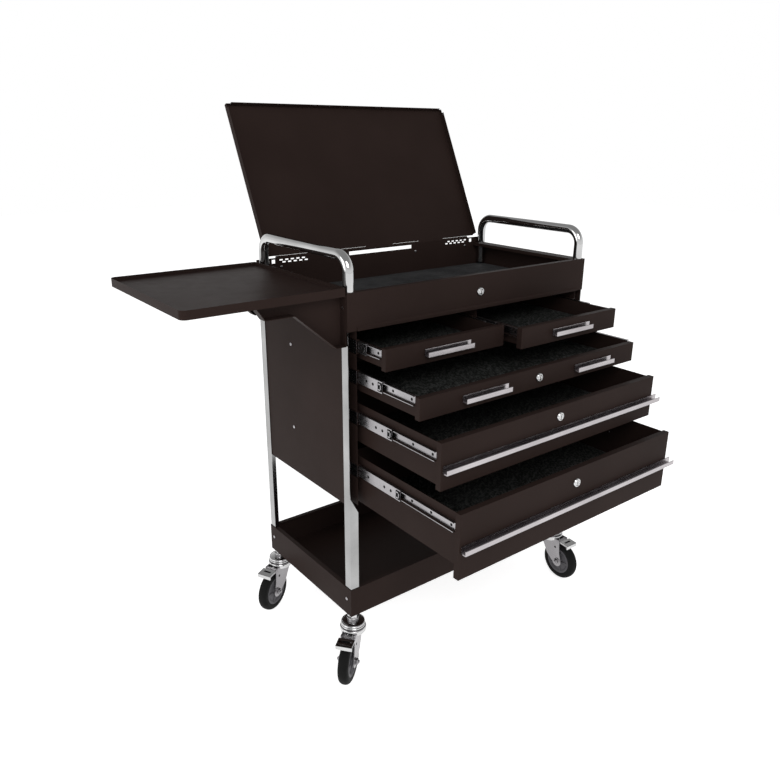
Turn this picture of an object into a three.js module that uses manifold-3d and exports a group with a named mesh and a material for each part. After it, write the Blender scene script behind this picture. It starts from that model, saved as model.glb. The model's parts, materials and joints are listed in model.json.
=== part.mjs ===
// Rolling tool chest: a lidded top compartment and five drawers on four chrome corner posts,
// a lower shelf tray, a side tray on two brackets, tube handles and four swivel casters.
// Millimetres, +Z up, front towards -Y, width along X. The shape is drawn with its front
// left lower corner on the z axis, a little above the drawing's zero, and is moved at the
// end, so that the origin is the centre of the bounding box at floor level.

import * as THREE from 'three';
import { mergeVertices } from 'three/addons/utils/BufferGeometryUtils.js';
import Module from 'manifold-3d';

const wasm = await Module();
wasm.setup();

// ---------------------------------------------------------------- driving dimensions

const WIDTH = 800;
const DEPTH = 412;
const MIDDLE = WIDTH / 2;
const SHEET = 1.2;
const GAP = 0.3;

const AXLE_Z = 100;
const WHEEL_RADIUS = 60;
const WHEEL_WIDTH = 28;
const WHEEL_BORE = 5.3;
const HUB_RADIUS = 41;
const STEM_INSET = 16;
const TRAIL = 44;
const CROWN_TOP = 178;
const CROWN_BOTTOM = 163;
const CROWN_RADIUS = 33;
const RACE_RADIUS = 30;
const PEDAL_X = 42;
const PEDAL_Z = 168.5;

const SHELF_Z = 215;
const SHELF_HEIGHT = 78;
const SHELF_HEM = 12;

const HOUSING_BOTTOM = 524;
const BOX_BOTTOM = 958;
const BOX_FLOOR = 976;
const BOX_TOP = 1045;
const REAR_WALL_TOP = 1062;
const BOX_LOCK_Z = 1001;

const POST_INSET = SHEET + GAP;
const POST_LEG = 24;
const POST_SHEET = 1.5;
const POST_CUT_BOTTOM = 503;
const POST_CUT_TOP = 547;
const PANEL_X = POST_INSET + POST_SHEET + GAP;
const BACK_Y = DEPTH - POST_INSET - POST_SHEET - GAP;

const RACK_X = 25.6;
const RACK_FACE = RACK_X + SHEET;
const SLIDE_WIDTH = 13;
const SLIDE_LENGTH = 380;

const DRAWER_DEPTH = 395;
const FRONT_THICKNESS = 15;
const FRONT_X0 = 36;
const FRONT_X1 = WIDTH - FRONT_X0;
const HALF_FRONT_GAP = 8;

const PULL_HEIGHT = 17;
const PULL_DEPTH = 15;
const PULL_SHEET = 2;
const PULL_LIP = 12;

const LOCK_RADIUS = 10;
const LOCK_DEPTH = 11;
const LOCK_PROUD = 3;

const TUBE_RADIUS = 12.5;
const TUBE_BORE = 11;
const TUBE_X = 14.5;
const TUBE_Y = 15;
const HANDLE_FOOT = 985;
const HANDLE_TOP = 1122;
const HANDLE_BEND = 38;

const SIDE_LEDGE = 36;
const FRONT_LEDGE = 14;
const LEDGE_HEM = 9;

const LID_X0 = 29;
const LID_X1 = WIDTH - LID_X0;
const LID_FRONT = -1;
const LID_FLANGE = 17;
const LID_OPEN = 115.7;
const HINGE_Y = DEPTH + 4.5;
const HINGE_Z = REAR_WALL_TOP;
const PIN_RADIUS = 2.2;
const KNUCKLE_RADIUS = 4;
const KNUCKLES = 7;

const SIDE_TRAY_X0 = -372;
const SIDE_TRAY_X1 = -4;
const SIDE_TRAY_TOP = 1058;
const SIDE_TRAY_FLOOR = 1050;
const SIDE_TRAY_SKIRT = 1039;
const SIDE_TRAY_CORNER = 14;
const BRACKET_WIDTH = 24;
const BRACKET_FOOT = 925;

// Each drawer: its front's span in x and z, the underside of its body, the height of its
// slides, how far it stands open, its pulls' ends and height, and its lock if it has one.
const LEFT_FRONT = { x0: FRONT_X0, x1: MIDDLE - HALF_FRONT_GAP / 2 };
const RIGHT_FRONT = { x0: MIDDLE + HALF_FRONT_GAP / 2, x1: FRONT_X1 };
const FULL_FRONT = { x0: FRONT_X0, x1: FRONT_X1 };
const DRAWERS = [
  {
    ...LEFT_FRONT, name: 'drawer_1', z0: 884, z1: 935, bodyZ: 890, slideZ: 920, open: 92,
    pullZ: 909, pulls: [{ name: 'drawer_1_pull', x0: 145, x1: 285 }],
  },
  {
    ...RIGHT_FRONT, name: 'drawer_2', z0: 884, z1: 935, bodyZ: 890, slideZ: 920, open: 143,
    pullZ: 909, pulls: [{ name: 'drawer_2_pull', x0: 515, x1: 655 }],
  },
  {
    ...FULL_FRONT, name: 'drawer_3', z0: 807, z1: 857, bodyZ: 812, slideZ: 848, open: 209, lockZ: 832,
    pullZ: 831, pulls: [
      { name: 'drawer_3_pull_left', x0: 156, x1: 296 },
      { name: 'drawer_3_pull_right', x0: 527, x1: 667 },
    ],
  },
  {
    ...FULL_FRONT, name: 'drawer_4', z0: 674, z1: 782, bodyZ: 683, slideZ: 748, open: 280, lockZ: 756,
    pullZ: 722, pulls: [{ name: 'drawer_4_pull', x0: FRONT_X0 + 5, x1: FRONT_X1 - 5 }],
  },
  {
    ...FULL_FRONT, name: 'drawer_5', z0: 494, z1: 648, bodyZ: 524.5, slideZ: 613, open: 344, lockZ: 612,
    pullZ: 565, pulls: [{ name: 'drawer_5_pull', x0: FRONT_X0 + 5, x1: FRONT_X1 - 5 }],
  },
];

// Each caster: the corner it stands in and the way it trails at rest, in degrees from +X.
const CASTERS = [
  { name: 'front_left', x: STEM_INSET, y: STEM_INSET, trails: -141.5 },
  { name: 'front_right', x: WIDTH - STEM_INSET, y: STEM_INSET, trails: -91 },
  { name: 'rear_left', x: STEM_INSET, y: DEPTH - STEM_INSET, trails: -153.5 },
  { name: 'rear_right', x: WIDTH - STEM_INSET, y: DEPTH - STEM_INSET, trails: -120 },
];

// ---------------------------------------------------------------- finishes

function finish(color, roughness, metalness) {
  return new THREE.MeshStandardMaterial({ color, roughness, metalness });
}

const PAINT = finish(0x1c191a, 0.4, 0.3);
const CHROME = finish(0xd8d8da, 0.08, 1);
const ZINC = finish(0xb9bbbd, 0.3, 1);
const ALUMINIUM = finish(0xd9d7d6, 0.2, 1);
const RUBBER = finish(0x1a1a1b, 0.8, 0);

// ---------------------------------------------------------------- solids

function toSolid(geometry) {
  const bare = geometry.index ? geometry.toNonIndexed() : geometry.clone();
  bare.deleteAttribute('normal');
  bare.deleteAttribute('uv');
  const merged = mergeVertices(bare, 1e-4);
  return new wasm.Manifold(new wasm.Mesh({
    numProp: 3,
    vertProperties: new Float32Array(merged.attributes.position.array),
    triVerts: new Uint32Array(merged.index.array),
  }));
}

function toGeometry(solid) {
  const mesh = solid.getMesh();
  const geometry = new THREE.BufferGeometry();
  geometry.setAttribute('position', new THREE.BufferAttribute(mesh.vertProperties, 3));
  geometry.setIndex(new THREE.BufferAttribute(mesh.triVerts, 1));
  geometry.computeVertexNormals();
  return geometry;
}

function join(...solids) {
  return solids.flat().reduce((total, solid) => total.add(solid));
}

function cut(solid, ...tools) {
  return tools.flat().reduce((left, tool) => left.subtract(tool), solid);
}

function block(x0, x1, y0, y1, z0, z1) {
  const geometry = new THREE.BoxGeometry(x1 - x0, y1 - y0, z1 - z0);
  geometry.translate((x0 + x1) / 2, (y0 + y1) / 2, (z0 + z1) / 2);
  return toSolid(geometry);
}

function polygon(points) {
  return new THREE.Shape(points.map(([a, b]) => new THREE.Vector2(a, b)));
}

// The same outline drawn a distance further in. The points go round anticlockwise.
function inset(points, distance) {
  const edges = points.map(([ax, ay], i) => {
    const [bx, by] = points[(i + 1) % points.length];
    const length = Math.hypot(bx - ax, by - ay);
    const normal = [-(by - ay) / length, (bx - ax) / length];
    return { normal, offset: normal[0] * ax + normal[1] * ay + distance };
  });
  return edges.map((edge, i) => {
    const before = edges[(i + edges.length - 1) % edges.length];
    const cross = before.normal[0] * edge.normal[1] - before.normal[1] * edge.normal[0];
    const x = (before.offset * edge.normal[1] - edge.offset * before.normal[1]) / cross;
    const y = (before.normal[0] * edge.offset - edge.normal[0] * before.offset) / cross;
    return [x, y];
  });
}

function extrude(shape, length) {
  return new THREE.ExtrudeGeometry(shape, { depth: length, bevelEnabled: false, curveSegments: 6 });
}

// A section drawn in (y, z), run along x from x0 to x1.
function alongX(shape, x0, x1) {
  const geometry = extrude(shape, x1 - x0);
  const axes = [new THREE.Vector3(0, 1, 0), new THREE.Vector3(0, 0, 1), new THREE.Vector3(1, 0, 0)];
  geometry.applyMatrix4(new THREE.Matrix4().makeBasis(...axes));
  geometry.translate(x0, 0, 0);
  return toSolid(geometry);
}

// A section drawn in (x, z), run along y from y0 to y1.
function alongY(shape, y0, y1) {
  const geometry = extrude(shape, y1 - y0);
  geometry.rotateX(Math.PI / 2);
  geometry.translate(0, y1, 0);
  return toSolid(geometry);
}

// A section drawn in (x, y), run along z from z0 to z1.
function alongZ(shape, z0, z1) {
  const geometry = extrude(shape, z1 - z0);
  geometry.translate(0, 0, z0);
  return toSolid(geometry);
}

function rodX(x0, x1, y, z, radius, sides) {
  const geometry = new THREE.CylinderGeometry(radius, radius, x1 - x0, sides);
  geometry.rotateZ(Math.PI / 2);
  geometry.translate((x0 + x1) / 2, y, z);
  return toSolid(geometry);
}

function rodY(x, y0, y1, z, radius, sides) {
  const geometry = new THREE.CylinderGeometry(radius, radius, y1 - y0, sides);
  geometry.translate(x, (y0 + y1) / 2, z);
  return toSolid(geometry);
}

function rodZ(x, y, z0, z1, radius, sides) {
  const geometry = new THREE.CylinderGeometry(radius, radius, z1 - z0, sides);
  geometry.rotateX(Math.PI / 2);
  geometry.translate(x, y, (z0 + z1) / 2);
  return toSolid(geometry);
}

function mirrorX(solid) {
  return solid.mirror([1, 0, 0]).translate([WIDTH, 0, 0]);
}

// ---------------------------------------------------------------- frame

const chest = new THREE.Group();
chest.name = 'tool_chest';

function add(name, solid, material, parent = chest) {
  const mesh = new THREE.Mesh(toGeometry(solid), material);
  mesh.name = name;
  parent.add(mesh);
  return mesh;
}

function corners(insetX, insetY) {
  return [
    [insetX, insetY],
    [WIDTH - insetX, insetY],
    [insetX, DEPTH - insetY],
    [WIDTH - insetX, DEPTH - insetY],
  ];
}

// The lower shelf is a pan whose rim turns inwards, notched at the corners for the posts.
function lowerShelf() {
  const top = SHELF_Z + SHELF_HEIGHT;
  const shell = cut(
    block(0, WIDTH, 0, DEPTH, SHELF_Z, top),
    block(SHEET, WIDTH - SHEET, SHEET, DEPTH - SHEET, SHELF_Z + SHEET, top - SHEET),
    block(SHELF_HEM, WIDTH - SHELF_HEM, SHELF_HEM, DEPTH - SHELF_HEM, SHELF_Z + SHEET, top + 1),
  );
  const half = (POST_INSET + POST_LEG + 2 - SHEET) / 2;
  const notches = corners(SHEET + half, SHEET + half).map(([x, y]) =>
    block(x - half, x + half, y - half, y + half, top - 2 * SHEET, top + 1));
  const stemHoles = CASTERS.map(({ x, y }) => rodZ(x, y, SHELF_Z - 1, SHELF_Z + 2, 6.5, 12));
  return cut(shell, notches, stemHoles);
}

// A chrome angle. The front posts lose their front leg above a slanted cut, which frees
// the drawers' slides.
function cornerPost(right, rear) {
  const foot = SHELF_Z + SHEET + 2 * GAP;
  const top = BOX_FLOOR - GAP;
  const outer = POST_INSET;
  const inner = outer + POST_SHEET;
  const end = outer + POST_LEG;
  const angle = [[outer, outer], [end, outer], [end, inner], [inner, inner], [inner, end], [outer, end]];
  let post = alongZ(polygon(angle), foot, top);
  if (rear) {
    post = post.mirror([0, 1, 0]).translate([0, DEPTH, 0]);
  } else {
    const freed = [
      [inner, POST_CUT_TOP],
      [end + 1, POST_CUT_BOTTOM],
      [end + 1, top + 1],
      [inner, top + 1],
    ];
    post = cut(post, alongY(polygon(freed), 0, inner + 0.5));
  }
  return right ? mirrorX(post) : post;
}

function sidePanel() {
  const top = BOX_FLOOR - GAP;
  const back = BACK_Y - SHEET - GAP;
  return join(
    block(PANEL_X, PANEL_X + SHEET, PANEL_X, back, HOUSING_BOTTOM, top),
    block(PANEL_X, 20, 28, back - 24, HOUSING_BOTTOM, HOUSING_BOTTOM + SHEET),
  );
}

// The back panel turns forwards at its foot and closes the housing under the lowest drawer.
function backPanel() {
  const foot = HOUSING_BOTTOM - 2.5;
  return join(
    block(PANEL_X, WIDTH - PANEL_X, BACK_Y - SHEET, BACK_Y, foot, BOX_FLOOR - GAP),
    block(28, WIDTH - 28, 60, BACK_Y, foot, foot + SHEET),
  );
}

// ---------------------------------------------------------------- slides

// A slide is three nested channels: one fixed to the housing, a middle one, and one on the
// drawer. A channel's web starts at x and its two lips point towards +X or -X.
function channel(x, towards, depth, half, z, y0, y1, sheet) {
  const web = x + towards * sheet;
  const lip = x + towards * depth;
  const section = [
    [x, z - half],
    [lip, z - half],
    [lip, z - half + sheet],
    [web, z - half + sheet],
    [web, z + half - sheet],
    [lip, z + half - sheet],
    [lip, z + half],
    [x, z + half],
  ];
  return alongY(polygon(towards > 0 ? section : section.reverse()), y0, y1);
}

function fixedChannel(x, towards, z, front) {
  return channel(x, towards, 8.5, 16, z, front, SLIDE_LENGTH + 4, 1.5);
}

function middleChannel(x, towards, z, open) {
  const front = FRONT_THICKNESS + 2 - open / 2;
  return channel(x + towards * 3, towards, 7.2, 13.5, z, front, front + SLIDE_LENGTH - 17, SHEET);
}

function drawerChannel(x, towards, z, open) {
  const front = FRONT_THICKNESS + 2 - open;
  const web = x + towards * (SLIDE_WIDTH + 0.3);
  return channel(web, -towards, 7.9, 11, z, front, front + SLIDE_LENGTH - 5, 1.5);
}

// The rack stands inside the side panel, carries the fixed channels and is notched around
// each channel's front end.
function slideRack() {
  const top = BOX_FLOOR - 1;
  const back = BACK_Y - SHEET - GAP;
  const plate = join(
    block(RACK_X, RACK_FACE, PANEL_X, back, HOUSING_BOTTOM, top),
    block(PANEL_X + SHEET + GAP, RACK_FACE, back - SHEET, back, HOUSING_BOTTOM + 4, top),
  );
  const heights = DRAWERS.filter(({ name }) => name !== 'drawer_2').map(({ slideZ }) => slideZ);
  const notches = heights.map((z) => block(RACK_X - 1, RACK_FACE + 1, 0, 40, z - 17, z + 17));
  const channels = heights.map((z) => fixedChannel(RACK_FACE - 0.2, 1, z, 4));
  const holes = heights.map((z) => rodX(RACK_X - 2, RACK_FACE + 3, 28, z, 2.6, 8));
  return cut(join(cut(plate, notches), channels), holes);
}

// A plate between the two upper drawers hangs from the top compartment's floor and holds
// one slide on each face.
function middleDivider() {
  const half = SHEET / 2;
  const top = BOX_FLOOR - GAP;
  const { slideZ } = DRAWERS[0];
  return join(
    block(MIDDLE - half, MIDDLE + half, 10, BACK_Y - SHEET - GAP, 880, top),
    block(MIDDLE - 14, MIDDLE + 14, 20, BACK_Y - SHEET - GAP, top - SHEET, top),
    fixedChannel(MIDDLE - half + 0.2, -1, slideZ, FRONT_THICKNESS + 2),
    fixedChannel(MIDDLE + half - 0.2, 1, slideZ, FRONT_THICKNESS + 2),
  );
}

// The two faces a drawer's slides are fixed to, as an x and the way towards the drawer.
function slideSides(drawer) {
  const half = SHEET / 2;
  const left = drawer.x0 < MIDDLE ? RACK_FACE : MIDDLE + half;
  const right = drawer.x1 > MIDDLE ? WIDTH - RACK_FACE : MIDDLE - half;
  return [{ side: 'left', x: left, towards: 1 }, { side: 'right', x: right, towards: -1 }];
}

// ---------------------------------------------------------------- drawers

// The front is a folded pan, open at the back; the body's sides run forward into it.
function drawerBox(drawer) {
  const { x0, x1, z0, z1, bodyZ, slideZ, open, lockZ } = drawer;
  const sides = slideSides(drawer);
  const bodyX0 = sides[0].x + SLIDE_WIDTH;
  const bodyX1 = sides[1].x - SLIDE_WIDTH;
  const front = -open;
  const back = front + FRONT_THICKNESS;
  const rear = front + DRAWER_DEPTH;
  const wallTop = z1 - 2.5;
  const panel = cut(
    block(x0, x1, front, back, z0, z1),
    block(x0 + SHEET, x1 - SHEET, front + SHEET, back + 1, z0 + SHEET, z1 - SHEET),
  );
  const body = cut(
    block(bodyX0, bodyX1, back - SHEET, rear, bodyZ, wallTop),
    block(bodyX0 + SHEET, bodyX1 - SHEET, back, rear - SHEET, bodyZ + SHEET, wallTop + 1),
  );
  const innerFront = block(bodyX0, bodyX1, back - SHEET, back, bodyZ, z1 - 0.5);
  const tongues = [bodyX0, bodyX1 - SHEET].map((x) =>
    block(x, x + SHEET, front + 0.5, back, bodyZ, wallTop));
  const channels = sides.map(({ x, towards }) => drawerChannel(x, towards, slideZ, open));
  const box = join(panel, body, innerFront, tongues, channels);
  if (!lockZ) {
    return box;
  }
  return cut(box, rodY(MIDDLE, front - 1, front + 3, lockZ, LOCK_RADIUS + GAP, 20));
}

// The pull is a channel with its mouth up: a back strip, a bottom and an outer lip.
function drawerPull(drawer, pull) {
  const z0 = drawer.pullZ - PULL_HEIGHT / 2;
  const z1 = z0 + PULL_HEIGHT;
  const back = -drawer.open - GAP;
  const lip = back - PULL_DEPTH;
  const section = [
    [back, z0],
    [back, z1],
    [back - PULL_SHEET, z1],
    [back - PULL_SHEET, z0 + PULL_SHEET],
    [lip + PULL_SHEET, z0 + PULL_SHEET],
    [lip + PULL_SHEET, z0 + PULL_LIP - 0.8],
    [lip + 0.8, z0 + PULL_LIP],
    [lip, z0 + PULL_LIP - 0.8],
    [lip, z0 + 0.8],
    [lip + 0.8, z0],
  ];
  return alongX(polygon(section), pull.x0, pull.x1);
}

// A lock barrel with its key slot.
function lock(front, z) {
  const face = front - LOCK_PROUD;
  const barrel = rodY(MIDDLE, face, front + LOCK_DEPTH, z, LOCK_RADIUS, 20);
  return cut(barrel, block(MIDDLE - 0.9, MIDDLE + 0.9, face - 1, face + 5, z - 4, z + 4));
}

// ---------------------------------------------------------------- top compartment

// Just under its top edge the rear wall has a long slot in the middle and, at each end, two
// staggered rows of tool slots with a square hole outside them.
function rearWallHoles() {
  const holes = [];
  const through = (x, length, z, height) => {
    holes.push(block(x, x + length, DEPTH - 3, DEPTH + 1, z, z + height));
  };
  const rows = [
    { z: REAR_WALL_TOP - 8, shift: 0 },
    { z: REAR_WALL_TOP - 14, shift: 8.5 },
  ];
  for (const mirror of [false, true]) {
    const place = (x, length, z, height) => through(mirror ? WIDTH - x - length : x, length, z, height);
    place(44, 10, REAR_WALL_TOP - 14, 10);
    for (const { z, shift } of rows) {
      for (let i = 0; i < 5; i += 1) {
        place(67 + shift + i * 17, 10, z, 3.6);
      }
    }
  }
  through(288, 224, REAR_WALL_TOP - 14, 10);
  return holes;
}

// The hinge's knuckles take turns: even ones belong to the compartment, odd ones to the lid.
function hingeKnuckles(odd, leafY, leafZ) {
  const start = 60;
  const pitch = (WIDTH - 2 * start) / KNUCKLES;
  const knuckles = [];
  for (let i = odd ? 1 : 0; i < KNUCKLES; i += 2) {
    const x0 = start + i * pitch + 0.3;
    const x1 = x0 + pitch - 0.6;
    const ring = cut(
      rodX(x0, x1, HINGE_Y, HINGE_Z, KNUCKLE_RADIUS, 12),
      rodX(x0 - 1, x1 + 1, HINGE_Y, HINGE_Z, PIN_RADIUS + GAP, 12),
    );
    knuckles.push(join(ring, block(x0, x1, leafY, DEPTH + 1.6, leafZ, leafZ + SHEET)));
  }
  return knuckles;
}

function topBox() {
  const shell = cut(
    block(0, WIDTH, 0, DEPTH, BOX_BOTTOM, BOX_TOP),
    block(SHEET, WIDTH - SHEET, SHEET, DEPTH - SHEET, BOX_BOTTOM - 1, BOX_FLOOR),
    block(SHEET, WIDTH - SHEET, SHEET, DEPTH - SHEET, BOX_FLOOR + SHEET, BOX_TOP - SHEET),
    block(SIDE_LEDGE, WIDTH - SIDE_LEDGE, FRONT_LEDGE, DEPTH - SHEET, BOX_TOP - 2 * SHEET, BOX_TOP + 1),
  );
  const hemZ = BOX_TOP - LEDGE_HEM;
  const hemTop = BOX_TOP - 0.5;
  const hems = [
    block(SIDE_LEDGE - SHEET, SIDE_LEDGE, FRONT_LEDGE - SHEET, DEPTH - SHEET, hemZ, hemTop),
    block(WIDTH - SIDE_LEDGE, WIDTH - SIDE_LEDGE + SHEET, FRONT_LEDGE - SHEET, DEPTH - SHEET, hemZ, hemTop),
    block(SIDE_LEDGE - SHEET, WIDTH - SIDE_LEDGE + SHEET, FRONT_LEDGE - SHEET, FRONT_LEDGE, hemZ, hemTop),
  ];
  const rearWall = block(0, WIDTH, DEPTH - SHEET, DEPTH, BOX_TOP - 5, REAR_WALL_TOP);
  const lip = [[0.5, BOX_BOTTOM], [0.5, BOX_BOTTOM + 10], [0, BOX_BOTTOM + 10], [-3, BOX_BOTTOM + 6],
    [-3, BOX_BOTTOM]];
  const frontLip = alongX(polygon(lip), 26, WIDTH - 26);
  const tubeHoles = corners(TUBE_X, TUBE_Y).map(([x, y]) =>
    rodZ(x, y, BOX_TOP - 3, BOX_TOP + 1, TUBE_RADIUS + GAP, 16));
  const lockHole = rodY(MIDDLE, -1, 3, BOX_LOCK_Z, LOCK_RADIUS + GAP, 20);
  const knuckles = hingeKnuckles(false, DEPTH - 0.5, HINGE_Z - 2.4);
  return cut(join(shell, hems, rearWall, frontLip, knuckles), rearWallHoles(), tubeHoles, lockHole);
}

// The handle's centre line in (y, z), from the foot of the front leg to the foot of the rear.
function handleLine() {
  const y0 = TUBE_Y;
  const y1 = DEPTH - TUBE_Y;
  const steps = 6;
  const line = [[y0, HANDLE_FOOT, 0, 1]];
  const bend = (y, from, to) => {
    for (let i = 0; i <= steps; i += 1) {
      const angle = THREE.MathUtils.degToRad(from + ((to - from) * i) / steps);
      const cos = Math.cos(angle);
      const sin = Math.sin(angle);
      line.push([y + HANDLE_BEND * cos, HANDLE_TOP - HANDLE_BEND + HANDLE_BEND * sin, sin, -cos]);
    }
  };
  bend(y0 + HANDLE_BEND, 180, 90);
  bend(y1 - HANDLE_BEND, 90, 0);
  line.push([y1, HANDLE_FOOT, 0, -1]);
  return line;
}

// A bar of round section along a line of (y, z, direction y, direction z) stations.
function roundBar(line, radius) {
  const sides = 14;
  const positions = [];
  const index = [];
  for (const [y, z, dy, dz] of line) {
    for (let i = 0; i < sides; i += 1) {
      const angle = (i / sides) * 2 * Math.PI;
      const across = radius * Math.sin(angle);
      positions.push(TUBE_X + radius * Math.cos(angle), y - dz * across, z + dy * across);
    }
  }
  for (let ring = 0; ring < line.length - 1; ring += 1) {
    for (let i = 0; i < sides; i += 1) {
      const a = ring * sides + i;
      const b = ring * sides + ((i + 1) % sides);
      index.push(a, b + sides, b, a, a + sides, b + sides);
    }
  }
  const last = (line.length - 1) * sides;
  for (let i = 1; i < sides - 1; i += 1) {
    index.push(0, i, i + 1, last, last + i + 1, last + i);
  }
  return new wasm.Manifold(new wasm.Mesh({
    numProp: 3,
    vertProperties: new Float32Array(positions),
    triVerts: new Uint32Array(index),
  }));
}

function sideHandle() {
  const line = handleLine();
  const bore = line.map((station) => [...station]);
  bore[0][1] -= 1;
  bore[bore.length - 1][1] -= 1;
  return cut(roundBar(line, TUBE_RADIUS), roundBar(bore, TUBE_BORE));
}

// The lid is drawn shut and turned back about its hinge.
function lid() {
  const under = REAR_WALL_TOP + 0.6;
  const top = under + SHEET;
  const back = DEPTH - 0.5;
  const flangeZ = top - LID_FLANGE;
  const shell = cut(
    block(LID_X0, LID_X1, LID_FRONT, back, flangeZ, top),
    block(LID_X0 + SHEET, LID_X1 - SHEET, LID_FRONT + SHEET, back + 1, flangeZ - 1, under),
    block(LID_X0 - 1, LID_X1 + 1, DEPTH - 3, back + 1, flangeZ - 1, under),
  );
  const notch = 12;
  const notches = [[LID_X0 - 1, LID_X0 + notch], [LID_X1 - notch, LID_X1 + 1]].map(([x0, x1]) =>
    block(x0, x1, LID_FRONT - 1, LID_FRONT + notch, flangeZ - 1, flangeZ + 7));
  return join(cut(shell, notches), hingeKnuckles(true, DEPTH - 3, under))
    .translate([0, -HINGE_Y, -HINGE_Z])
    .rotate([-LID_OPEN, 0, 0])
    .translate([0, HINGE_Y, HINGE_Z]);
}

// ---------------------------------------------------------------- side tray

function trayOutline(x0, x1, y0, y1, radius) {
  const shape = new THREE.Shape();
  shape.moveTo(x1, y0);
  shape.lineTo(x1, y1);
  shape.lineTo(x0 + radius, y1);
  shape.absarc(x0 + radius, y1 - radius, radius, Math.PI / 2, Math.PI, false);
  shape.lineTo(x0, y0 + radius);
  shape.absarc(x0 + radius, y0 + radius, radius, Math.PI, 1.5 * Math.PI, false);
  shape.closePath();
  return shape;
}

// The tray is a shallow pan whose rim runs on below its floor as a skirt.
function sideTray() {
  const outside = trayOutline(SIDE_TRAY_X0, SIDE_TRAY_X1, 0, DEPTH, SIDE_TRAY_CORNER);
  const inside = trayOutline(
    SIDE_TRAY_X0 + SHEET,
    SIDE_TRAY_X1 - SHEET,
    SHEET,
    DEPTH - SHEET,
    SIDE_TRAY_CORNER - SHEET,
  );
  return cut(
    alongZ(outside, SIDE_TRAY_SKIRT, SIDE_TRAY_TOP),
    alongZ(inside, SIDE_TRAY_FLOOR, SIDE_TRAY_TOP + 1),
    alongZ(inside, SIDE_TRAY_SKIRT - 1, SIDE_TRAY_FLOOR - SHEET),
  );
}

// A bracket holds the tray on the cabinet: an arm under the tray's floor and a strut down to
// the post, as one web with a flange all round it. Its open side faces the front.
function trayBracket(rear) {
  const face = -GAP;
  const top = SIDE_TRAY_FLOOR - SHEET - GAP;
  const underSkirt = SIDE_TRAY_SKIRT - GAP;
  const armZ = 1012;
  const outline = [
    [face, underSkirt],
    [SIDE_TRAY_X1 - SHEET - GAP, underSkirt],
    [SIDE_TRAY_X1 - SHEET - GAP, top],
    [-222, top],
    [-197, armZ],
    [-128, armZ],
    [-26, BRACKET_FOOT],
    [face, BRACKET_FOOT],
  ];
  const y0 = rear ? DEPTH - 3 - BRACKET_WIDTH : 3;
  const y1 = y0 + BRACKET_WIDTH;
  return cut(
    alongY(polygon(outline), y0, y1),
    alongY(polygon(inset(outline, SHEET)), y0 - 1, y1 - SHEET),
  );
}

// ---------------------------------------------------------------- casters

// Caster parts are drawn with the stem on the z axis, trailing along +X.
function casterStem() {
  const nutTop = SHELF_Z - GAP;
  const raceTop = CROWN_TOP + 13;
  return join(
    rodZ(0, 0, CROWN_TOP - 8, SHELF_Z + 12, 6, 12),
    rodZ(0, 0, nutTop - 11, nutTop, 12, 6),
    rodZ(0, 0, raceTop - 1, nutTop - 10, 15, 16),
    rodZ(0, 0, CROWN_TOP + GAP, raceTop, RACE_RADIUS, 24),
  );
}

// The fork's crown is a round plate; its cheeks lean back to the axle, which is part of it.
function casterFork() {
  const inner = WHEEL_WIDTH / 2 + 2;
  const outer = inner + 3;
  const plateTop = CROWN_TOP - 5;
  const cheek = new THREE.Shape();
  cheek.moveTo(48, plateTop);
  cheek.lineTo(-24, plateTop);
  cheek.lineTo(-22, 156);
  cheek.lineTo(4, 112);
  cheek.lineTo(TRAIL - 18, AXLE_Z - 6);
  cheek.absarc(TRAIL, AXLE_Z, 17, 1.1 * Math.PI, 2 * Math.PI, false);
  cheek.lineTo(52, 130);
  cheek.closePath();
  const pinHoles = rodY(PEDAL_X, -outer - 1, outer + 1, PEDAL_Z, 2.6, 10);
  return cut(
    join(
      alongY(cheek, -outer, -inner),
      alongY(cheek, inner, outer),
      block(-24, 33, -outer + 0.5, outer - 0.5, CROWN_BOTTOM, plateTop - 0.5),
      rodZ(0, 0, CROWN_BOTTOM + 1, CROWN_TOP, CROWN_RADIUS, 24),
      rodY(TRAIL, -outer - 5, outer + 5, AXLE_Z, 5, 12),
      rodY(TRAIL, -outer - 5, -outer + 1, AXLE_Z, 8, 6),
      rodY(TRAIL, outer - 1, outer + 5, AXLE_Z, 8, 6),
    ),
    rodZ(0, 0, CROWN_TOP - 9, CROWN_TOP + 1, 6.6, 12),
    pinHoles,
  );
}

// Tyre and hub as one turned shape, bored for the axle.
function casterWheel() {
  const half = WHEEL_WIDTH / 2;
  const boss = 15;
  const hub = HUB_RADIUS;
  const tyre = WHEEL_RADIUS;
  const side = [[boss, half], [boss, half - 4], [hub - 4, half - 4], [hub, half - 1], [tyre - 7, half],
    [tyre - 1.5, half - 5], [tyre, half - 9]];
  const profile = [
    [WHEEL_BORE, -half],
    ...side.map(([r, h]) => [r, -h]),
    ...side.reverse(),
    [WHEEL_BORE, half],
    [WHEEL_BORE, -half],
  ];
  const geometry = new THREE.LatheGeometry(profile.map(([r, h]) => new THREE.Vector2(r, h)), 28);
  geometry.translate(TRAIL, 0, AXLE_Z);
  return toSolid(geometry);
}

// The foot pedal lies over the tyre and turns on a pin between the fork's cheeks. Its outer
// end is turned down, and a shoe under it comes down on the tyre.
function brakePedal() {
  const neck = WHEEL_WIDTH / 2 + 1.5;
  const half = 21;
  const cheekEnd = 54;
  const tip = 82;
  const z0 = PEDAL_Z - 1;
  const z1 = PEDAL_Z + 2;
  const plate = [[cheekEnd, z0], [tip - 3, z0 - 1], [tip - 3, z0 - 8], [tip, z0 - 8], [tip, z1 - 2],
    [cheekEnd, z1]];
  return join(
    alongY(polygon(plate), -half, half),
    block(PEDAL_X, cheekEnd + 1, -neck, neck, z0, z1),
    block(56, 64, -9, 9, 161.5, z0 + 0.5),
    rodY(PEDAL_X, -neck, neck, PEDAL_Z, 4, 12),
    rodY(PEDAL_X, -neck - 4, neck + 4, PEDAL_Z, 2.2, 10),
  );
}

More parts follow.
